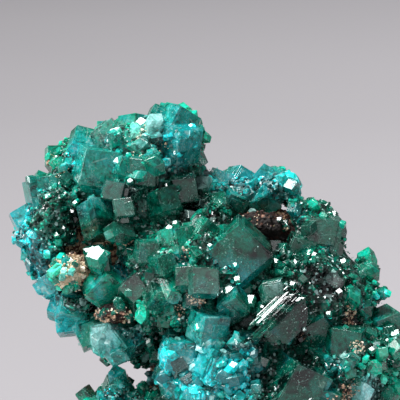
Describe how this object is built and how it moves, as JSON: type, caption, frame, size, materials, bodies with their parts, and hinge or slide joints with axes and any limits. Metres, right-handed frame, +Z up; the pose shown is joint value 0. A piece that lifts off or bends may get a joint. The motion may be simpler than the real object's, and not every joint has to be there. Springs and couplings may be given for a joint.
{
  "type": "dioptase crystal specimen",
  "caption": "Cluster of blocky green dioptase crystals grown together over a lump of pale brown matrix rock, standing on a flat trimmed base.",
  "frame": {"origin": "on the flat trimmed base of the matrix rock, under the middle of the specimen", "axes": "+X to the right and +Z up as the crystal-covered front is seen, the front faces -Y"},
  "size_m": [0.0491, 0.0279, 0.0418],
  "materials": {
    "dioptase": "vitreous, translucent emerald green with turquoise zones",
    "matrix": "rough broken rock, pale cream to red-brown"
  },
  "bodies": {
    "root": {"dioptase_crystals": "dioptase", "matrix": "matrix"}
  },
  "joints": []
}
